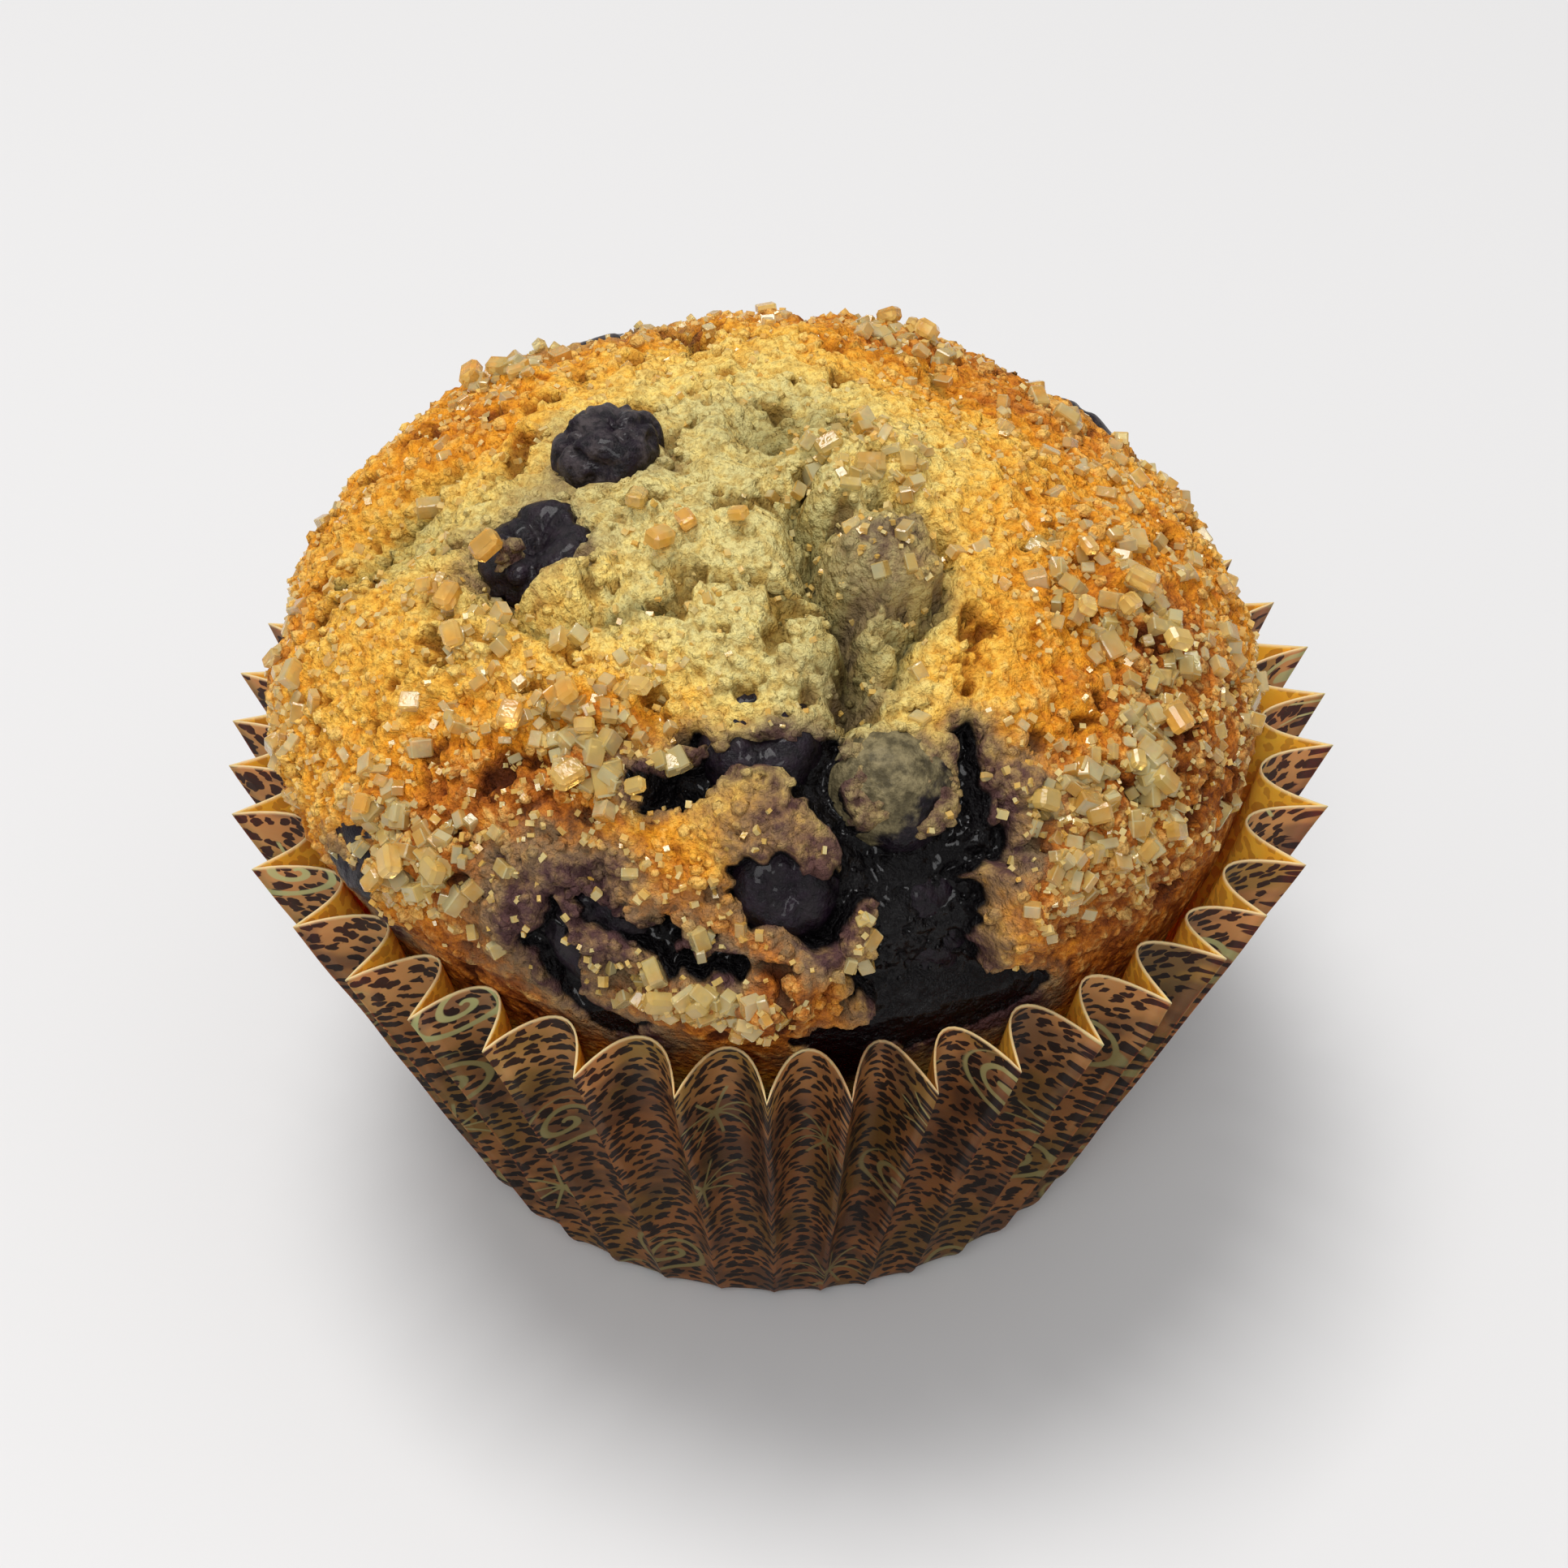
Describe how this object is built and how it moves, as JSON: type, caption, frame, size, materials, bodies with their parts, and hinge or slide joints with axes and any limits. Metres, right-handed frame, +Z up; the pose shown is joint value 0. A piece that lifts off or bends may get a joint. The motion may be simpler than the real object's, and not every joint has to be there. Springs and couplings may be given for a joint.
{
  "type": "blueberry muffin",
  "caption": "Domed blueberry muffin with a cracked, sugar-crusted top and burst berries, seated in a fluted paper baking cup.",
  "frame": {"origin": "middle of the paper cup's flat underside, on the surface that the muffin stands on", "axes": "+Z up through the crown of the dome; -Y is the front, where the berry juice has run; +X is to the right seen from the front"},
  "size_m": [0.0783, 0.0783, 0.0602],
  "materials": {
    "crust": "matte",
    "baking_paper": "satin",
    "berry": "gloss",
    "sugar": "gloss"
  },
  "bodies": {
    "root": {"muffin_crumb": "crust", "paper_cup": "baking_paper", "blueberry_crown": "berry", "blueberry_burst": "berry", "blueberry_middle": "berry", "blueberry_island": "berry", "blueberry_veiled": "berry", "blueberry_pool": "berry", "blueberry_front_left": "berry", "blueberry_rim_left": "berry", "blueberry_back_left": "berry", "blueberry_back_right": "berry", "sugar_crystal_01": "sugar", "sugar_crystal_02": "sugar", "sugar_crystal_03": "sugar", "sugar_crystal_04": "sugar", "sugar_crystal_05": "sugar", "sugar_crystal_06": "sugar", "sugar_crystal_07": "sugar", "sugar_crystal_08": "sugar", "sugar_crystal_09": "sugar", "sugar_crystal_10": "sugar", "sugar_crystal_11": "sugar", "sugar_crystal_12": "sugar", "sugar_crystal_13": "sugar", "sugar_crystal_14": "sugar", "sugar_crystal_15": "sugar", "sugar_crystal_16": "sugar", "sugar_crystal_17": "sugar", "sugar_crystal_18": "sugar", "sugar_crystal_19": "sugar", "sugar_crystal_20": "sugar", "sugar_crystal_21": "sugar", "sugar_crystal_22": "sugar", "sugar_crystal_23": "sugar", "sugar_crystal_24": "sugar", "sugar_crystal_25": "sugar", "sugar_crystal_26": "sugar", "sugar_crystal_27": "sugar", "sugar_crystal_28": "sugar", "sugar_crystal_29": "sugar", "sugar_crystal_30": "sugar", "sugar_crystal_31": "sugar", "sugar_crystal_32": "sugar", "sugar_crystal_33": "sugar", "sugar_crystal_34": "sugar", "sugar_crystal_35": "sugar", "sugar_crystal_36": "sugar", "sugar_crystal_37": "sugar", "sugar_crystal_38": "sugar", "sugar_crystal_39": "sugar", "sugar_crystal_40": "sugar", "sugar_crystal_41": "sugar", "sugar_crystal_42": "sugar", "sugar_crystal_43": "sugar", "sugar_crystal_44": "sugar"}
  },
  "joints": []
}
